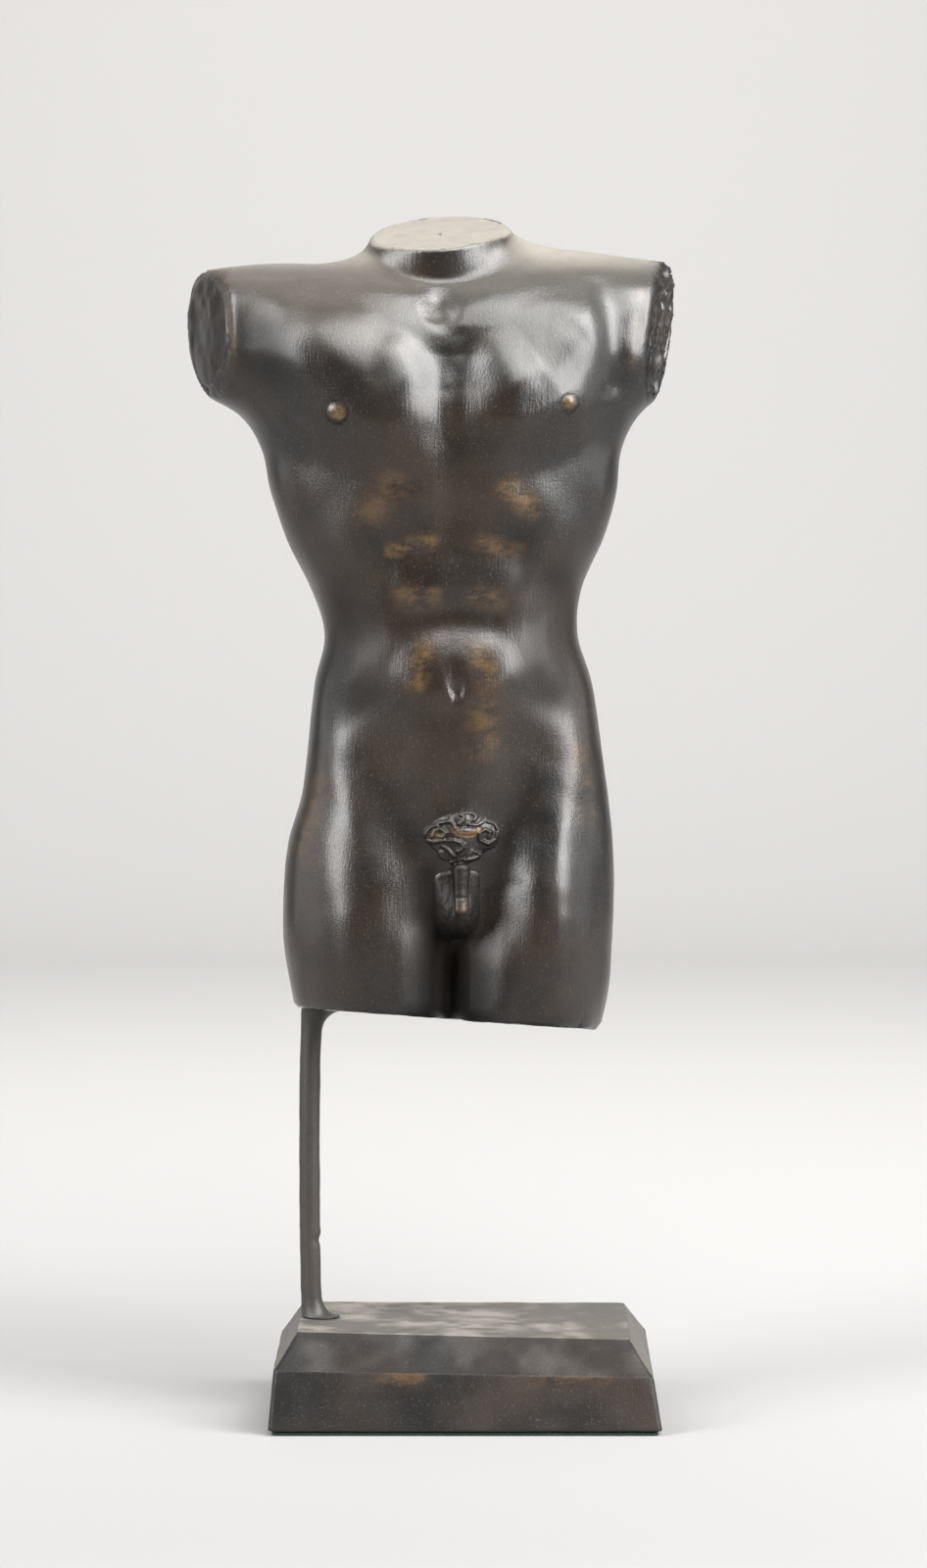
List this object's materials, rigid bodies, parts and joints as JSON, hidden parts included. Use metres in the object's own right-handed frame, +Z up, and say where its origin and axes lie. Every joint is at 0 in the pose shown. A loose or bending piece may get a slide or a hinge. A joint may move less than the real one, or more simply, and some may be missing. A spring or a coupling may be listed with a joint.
{
  "type": "bronze torso sculpture",
  "caption": "Cast bronze standing male torso, cut flat at neck, shoulders and thighs, held on an offset rod over a bevelled oblong bronze plinth with a felt underside.",
  "frame": {"origin": "centre of the plinth's underside, on the surface it stands on", "axes": "+Z up; the figure faces -Y, its front turned slightly towards +X; +X to the viewer's right, where the rod is on the -X side"},
  "size_m": [0.249, 0.1368, 0.609],
  "materials": {
    "bronze": "dark brown-black waxed patina over cast bronze, semi-gloss, with golden brown rubs and pale dust on the upper faces",
    "felt": "dark green baize"
  },
  "bodies": {
    "root": {"torso": "bronze", "support_rod": "bronze", "plinth": "bronze", "felt_pad": "felt"}
  },
  "joints": []
}
